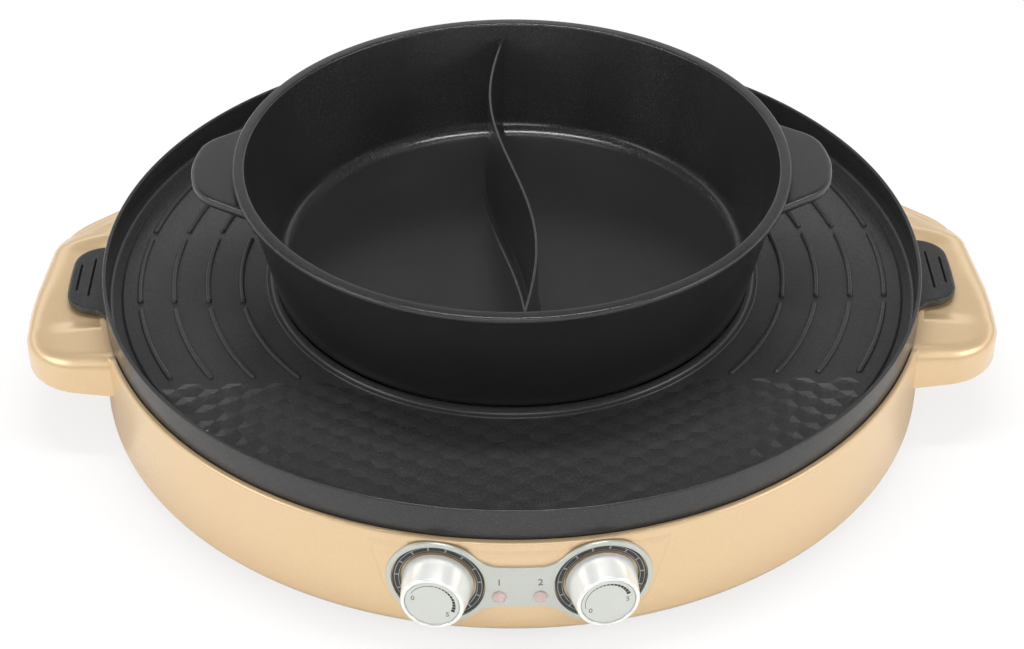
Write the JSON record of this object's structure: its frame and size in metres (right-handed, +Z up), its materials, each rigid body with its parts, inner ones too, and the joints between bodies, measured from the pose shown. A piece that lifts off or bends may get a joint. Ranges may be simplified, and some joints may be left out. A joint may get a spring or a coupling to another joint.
{
  "type": "electric hot pot and grill",
  "caption": "Round electric countertop cooker: a ribbed grill pan around a removable pot with an S-shaped divider, on a shallow gold base with lug handles and twin knobs.",
  "frame": {"origin": "on the table, under the centre of the round base", "axes": "+Z up, -Y towards the knobs at the front, +X to the right-hand handle seen from the front"},
  "size_m": [0.4868, 0.4404, 0.1293],
  "materials": {
    "gold_plastic": "pearl satin moulded plastic, champagne gold",
    "silver_trim": "satin silver plate",
    "knob_silver": "silver-coated moulded plastic",
    "knob_cap_silver": "satin disc with a printed scale",
    "ring_black": "black ring with light ticks",
    "lens_pink": "translucent pale pink lens",
    "nonstick": "charcoal non-stick coating with fine sparkle on die-cast aluminium",
    "cast_aluminium": "die-cast aluminium, machined top",
    "tray_steel": "bright sheet steel",
    "heater_steel": "heat-tinted steel sheath",
    "zinc_steel": "zinc-plated steel",
    "brass": "brass",
    "black_plastic": "black moulded plastic",
    "white_plastic": "natural moulded plastic",
    "foot_rubber": "black rubber"
  },
  "bodies": {
    "cooker_base": {"base_housing": "gold_plastic", "control_fascia": "gold_plastic", "dial_plate": "silver_trim", "dial_rings": "ring_black", "hotpot_thermostat": "black_plastic", "grill_thermostat": "black_plastic", "hotpot_lamp_lens": "lens_pink", "grill_lamp_lens": "lens_pink", "lamp_holders": "white_plastic", "power_inlet": "black_plastic", "inlet_pins": "brass", "hotplate": "cast_aluminium", "hotplate_terminals": "heater_steel", "hotplate_pillars": "zinc_steel", "grill_heater": "heater_steel", "heater_clips": "zinc_steel", "reflector_plate": "tray_steel", "bottom_cover": "zinc_steel", "rubber_feet": "foot_rubber"},
    "pan": {"grill_pan": "nonstick"},
    "pot": {"hot_pot": "nonstick", "pot_divider": "nonstick"},
    "hotpot_control": {"hotpot_knob": "knob_silver", "hotpot_knob_cap": "knob_cap_silver", "hotpot_shaft": "zinc_steel"},
    "grill_control": {"grill_knob": "knob_silver", "grill_knob_cap": "knob_cap_silver", "grill_shaft": "zinc_steel"}
  },
  "joints": [
    {"name": "pan_lift", "type": "slide", "parent": "cooker_base", "child": "pan", "axis": [0, 0, 1], "range_m": [0, 0.12]},
    {"name": "pot_lift", "type": "slide", "parent": "pan", "child": "pot", "axis": [0, 0, 1], "range_m": [0, 0.15]},
    {"name": "hotpot_knob_turn", "type": "hinge", "parent": "cooker_base", "child": "hotpot_control", "pos_m": [-0.03759, -0.21321, 0.0355], "axis": [0.1736, 0.9848, 0], "range_deg": [0, 270]},
    {"name": "grill_knob_turn", "type": "hinge", "parent": "cooker_base", "child": "grill_control", "pos_m": [0.03759, -0.21321, 0.0355], "axis": [-0.1736, 0.9848, 0], "range_deg": [0, 270]}
  ]
}
